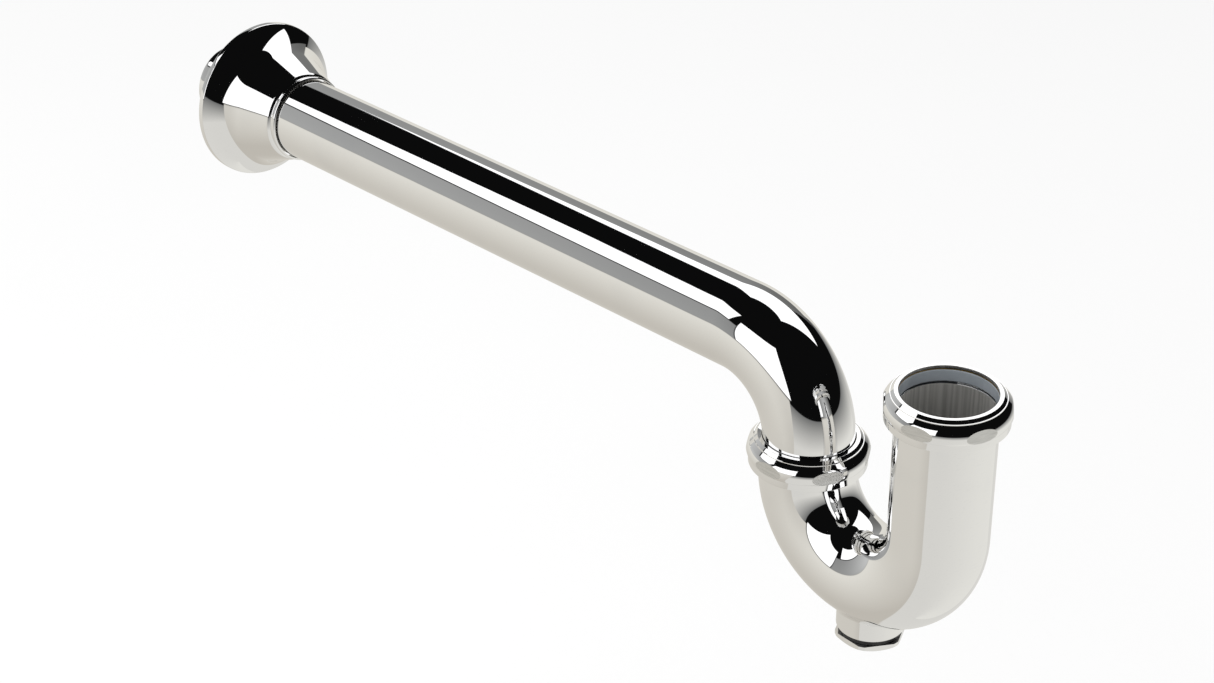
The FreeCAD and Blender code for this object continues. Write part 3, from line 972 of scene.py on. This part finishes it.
@dataclass
class Studio:
    """Floor, camera, soft light and the cards that polished metal mirrors."""
    camera_place: tuple = (0.83848, -0.57673, 0.46305)
    camera_turn_deg: tuple = (59.7496, 0.0, 46.7246)
    lens: float = 79.40
    floor_z: float = -0.40
    floor_half: float = 6.0
    dome_r: float = 30.0
    soft_level: float = 0.86
    lamp_power: float = 16.0
    lamp_size: float = 1.6
    lamp_place: tuple = (0.0, -1.1, 1.9)
    cards: tuple = (Card(-1.5, 23.7, 4.3, 44.5, 0.18, 1.35),
                    Card(-53.5, 19.5, 30.0, 48.5, 0.18, 1.35),
                    Card(-161.0, 37.0, 26.5, 66.0, -0.17, 1.35))

    def plane(self, name: str, half: float, height: float) -> bpy.types.Object:
        """Makes a level square plane."""
        mesh = bpy.data.meshes.new(name)
        corners = np.array([(-1, -1), (1, -1), (1, 1), (-1, 1)], float) * half
        mesh.from_pydata(np.c_[corners, np.full(4, height)], [], [(0, 1, 2, 3)])
        piece = bpy.data.objects.new(name, mesh)
        bpy.context.scene.collection.objects.link(piece)
        return piece

    def make_floor(self) -> None:
        """Plain pale floor that keeps the object's shadow."""
        floor = self.plane("floor", self.floor_half, self.floor_z)
        material, tree, shader, place = start_material("floor_paper")
        cloud = tree.noise(place.outputs["Object"], 3.0)
        tree.feed(shader.inputs["Base Color"],
                  tree.mix(cloud, (0.965, 0.965, 0.965), (0.985, 0.985, 0.985)))
        shader.inputs["Roughness"].default_value = 1.0
        shader.inputs["Specular IOR Level"].default_value = 0.0
        floor.data.materials.append(material)
        floor.visible_glossy = False

    def make_dome(self, effects: Effects) -> None:
        """Far dome that only mirrors see: black surround, white cards, grey wall, pale ground.

        The direction d from the middle gives elevation = asin(d z) and azimuth =
        atan2(d x, -d y), in degrees.
        """
        bpy.ops.mesh.primitive_uv_sphere_add(segments=96, ring_count=48, radius=self.dome_r)
        dome = bpy.context.object
        dome.name = "mirror_dome"
        material = bpy.data.materials.new("mirror_dome")
        material.use_nodes = True
        material.node_tree.nodes.clear()
        tree = Tree(material.node_tree)
        where = tree.add("ShaderNodeTexCoord").outputs["Object"]
        way = tree.add("ShaderNodeVectorMath", {0: where}, operation="NORMALIZE").outputs[0]
        part = tree.add("ShaderNodeSeparateXYZ", {0: way}).outputs
        rise = tree.maths("DEGREES", tree.maths("ARCSINE", part["Z"]))
        round_ = tree.maths("DEGREES", tree.maths(
            "ARCTAN2", part["X"], tree.maths("MULTIPLY", part["Y"], -1.0)))
        colour = self.ground(tree, part, rise, round_)
        colour = self.grey_wall(tree, effects, rise, round_, colour)
        for card in self.cards:
            mask = self.card_mask(tree, effects, rise, round_, card, 0.35)
            colour = tree.mix(mask, colour, (card.light,) * 3)
        glow = tree.add("ShaderNodeEmission", {"Color": colour, "Strength": 1.0})
        tree.add("ShaderNodeOutputMaterial", {"Surface": glow.outputs[0]})
        material.cycles.emission_sampling = "NONE"
        dome.data.materials.append(material)
        for ray in ("camera", "diffuse", "shadow", "volume_scatter"):
            setattr(dome, f"visible_{ray}", False)

    def card_mask(self, tree: Tree, effects: Effects, rise: object, round_: object, card: Card,
                  softness: float) -> bpy.types.NodeSocket:
        """Places one card group and returns its mask."""
        node = tree.add("ShaderNodeGroup", node_tree=effects.card)
        values = {"Azimuth": round_, "Elevation": rise, "Centre": card.centre,
                  "Half Width": card.half_width, "Low": card.low, "High": card.high,
                  "Slope": card.slope, "Softness": softness}
        for key, value in values.items():
            tree.feed(node.inputs[key], value)
        return node.outputs["Mask"]

    def ground(self, tree: Tree, part: object, rise: object,
               round_: object) -> bpy.types.NodeSocket:
        """Colours below the horizon: warm paper on one side of a straight edge, grey beyond.

        The edge is the line x + 0.325 y + 0.31 h = 0 on a floor h below the middle.
        """
        down = tree.maths("MULTIPLY", part["Z"], -1.0)
        side = tree.maths("MULTIPLY_ADD", part["Y"], 0.325, part["X"])
        side = tree.maths("MULTIPLY_ADD", down, 0.31, side)
        warm = tree.mix(tree.span(rise, -2.0, -60.0, 0.0, 1.0), (0.79, 0.77, 0.71),
                        (0.56, 0.53, 0.475))
        near = tree.step(round_, -20.0, 14.0)
        warm = tree.mix(tree.maths("MULTIPLY", near, 0.35), warm, (0.45, 0.425, 0.385))
        far = tree.mix(tree.step(round_, 20.0, 150.0), (0.72, 0.71, 0.675),
                       (0.81, 0.80, 0.755))
        grey = tree.mix(tree.span(rise, 1.0, -24.0, 0.0, 1.0), (0.17, 0.172, 0.17), far)
        grey = tree.mix(tree.step(rise, 0.2, 1.2), grey, BLACK_CARD)
        lower = tree.mix(tree.step(side, -0.012, 0.012), warm, grey)
        return tree.mix(tree.step(rise, 1.5, 4.5), lower, BLACK_CARD)

    def grey_wall(self, tree: Tree, effects: Effects, rise: object, round_: object,
                  colour: object) -> bpy.types.NodeSocket:
        """Grey wall above the horizon on the left, palest in its middle."""
        wall = Card(-97.0, 71.0, 3.0, 28.4, 0.0, 1.0)
        mask = self.card_mask(tree, effects, rise, round_, wall, 0.7)
        tone = tree.mix(tree.step(round_, -165.0, -88.0), (0.14, 0.14, 0.136),
                        (0.57, 0.575, 0.57))
        tone = tree.mix(tree.step(round_, -80.0, -26.0), tone, (0.3, 0.303, 0.3))
        tone = tree.mix(tree.span(rise, 8.0, 28.0, 0.0, 0.4), tone, (0.23, 0.23, 0.23))
        return tree.mix(mask, colour, tone)

    def make_light(self) -> None:
        """Even white surround and one large soft lamp above, to the left of the camera."""
        world = bpy.data.worlds.new("studio")
        world.use_nodes = True
        world.node_tree.nodes.clear()
        tree = Tree(world.node_tree)
        path = tree.add("ShaderNodeLightPath").outputs
        seen = tree.maths("MAXIMUM", path["Is Camera Ray"], path["Is Glossy Ray"])
        seen = tree.maths("MAXIMUM", seen, path["Is Transmission Ray"])
        level = tree.span(seen, 0.0, 1.0, self.soft_level, 1.0)
        plain = tree.add("ShaderNodeBackground", {"Color": (1.0, 1.0, 1.0, 1.0),
                                                  "Strength": level})
        tree.add("ShaderNodeOutputWorld", {"Surface": plain.outputs[0]})
        bpy.context.scene.world = world
        lamp = bpy.data.lights.new("soft_lamp", "AREA")
        lamp.shape = "SQUARE"
        lamp.size = self.lamp_size
        lamp.energy = self.lamp_power
        holder = bpy.data.objects.new("soft_lamp", lamp)
        holder.location = self.lamp_place
        holder.rotation_euler = (math.radians(30.0), 0.0, math.radians(-10.0))
        holder.visible_glossy = False
        holder.visible_camera = False
        bpy.context.scene.collection.objects.link(holder)

    def make_camera(self) -> None:
        """Camera at the object's three-quarter view from above."""
        data = bpy.data.cameras.new("camera")
        data.lens = self.lens
        data.sensor_width = 36.0
        data.clip_end = 100.0
        camera = bpy.data.objects.new("camera", data)
        camera.location = self.camera_place
        camera.rotation_euler = [math.radians(turn) for turn in self.camera_turn_deg]
        bpy.context.scene.collection.objects.link(camera)
        bpy.context.scene.camera = camera

    def build(self, effects: Effects) -> None:
        """Sets up the whole studio."""
        bpy.context.scene.view_settings.view_transform = "Standard"
        self.make_camera()
        self.make_floor()
        self.make_dome(effects)
        self.make_light()
        LOG.info("studio ready")


def main() -> None:
    """Builds the studio and every sub-assembly."""
    logging.basicConfig(level=logging.INFO, format="%(name)s %(message)s")
    effects = Effects()
    finishes = Finishes(effects)
    Studio().build(effects)
    outlet = SlipJoint(Side.OUTLET, 325.8686, -21.3401, -28.3, "outlet_nut",
                       "outlet_washer")
    inlet = SlipJoint(Side.INLET, 384.3286, 21.3799, -18.3, "inlet_nut", "trap")
    for assembly in (WallBend(), Escutcheon(), outlet, inlet, JBend(), Cleanout()):
        assembly.build(finishes)
        LOG.info("%s built", type(assembly).__name__)


if __name__ == "__main__":
    main()
